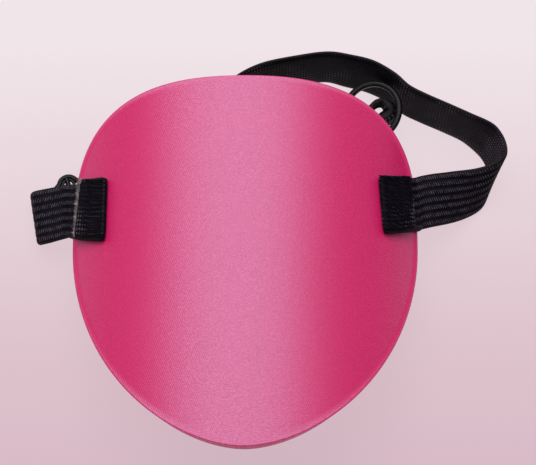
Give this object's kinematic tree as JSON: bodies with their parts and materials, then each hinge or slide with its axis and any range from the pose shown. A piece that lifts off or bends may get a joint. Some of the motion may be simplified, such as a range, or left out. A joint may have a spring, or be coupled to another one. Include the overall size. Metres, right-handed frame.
{
  "type": "eye patch",
  "caption": "Domed fabric eye patch with elastic head straps sewn to both sides, joined under it by a ring and a sliding adjuster.",
  "frame": {"origin": "eye centre, in the plane of the shield's rim that lies against the face", "axes": "+Z out of the face through the dome, +Y to the brow, +X to the right of the shield seen from the front"},
  "size_m": [0.1106, 0.1017, 0.0278],
  "materials": {
    "satin_cover": "hot pink satin-faced polyester knit with a soft sheen",
    "foam": "dark grey closed-cell foam, seen only at the cut edge",
    "lining_fabric": "soft black brushed knit",
    "elastic": "black ribbed knitted elastic, smooth on its inner face",
    "black_plastic": "glossy black moulded nylon",
    "thread": "black polyester sewing thread"
  },
  "bodies": {
    "shield": {"outer_cover": "satin_cover", "foam_core": "foam", "lining": "lining_fabric", "left_strap": "elastic", "right_strap": "elastic", "left_tab_stitching": "thread", "right_tab_stitching": "thread", "left_bobbin_stitching": "thread", "right_bobbin_stitching": "thread"},
    "slider": {"slider": "black_plastic"},
    "ring": {"ring": "black_plastic"}
  },
  "joints": [
    {"name": "slider_slide", "type": "slide", "parent": "shield", "child": "slider", "axis": [0.9511, 0.309, 0], "range_m": [0, 0.03], "deforming": ["left_strap"]},
    {"name": "ring_turn", "type": "hinge", "parent": "shield", "child": "ring", "pos_m": [0.0294, 0.0355, -0.0006], "axis": [-0.3563, -0.1158, 0.9272], "continuous": true}
  ]
}
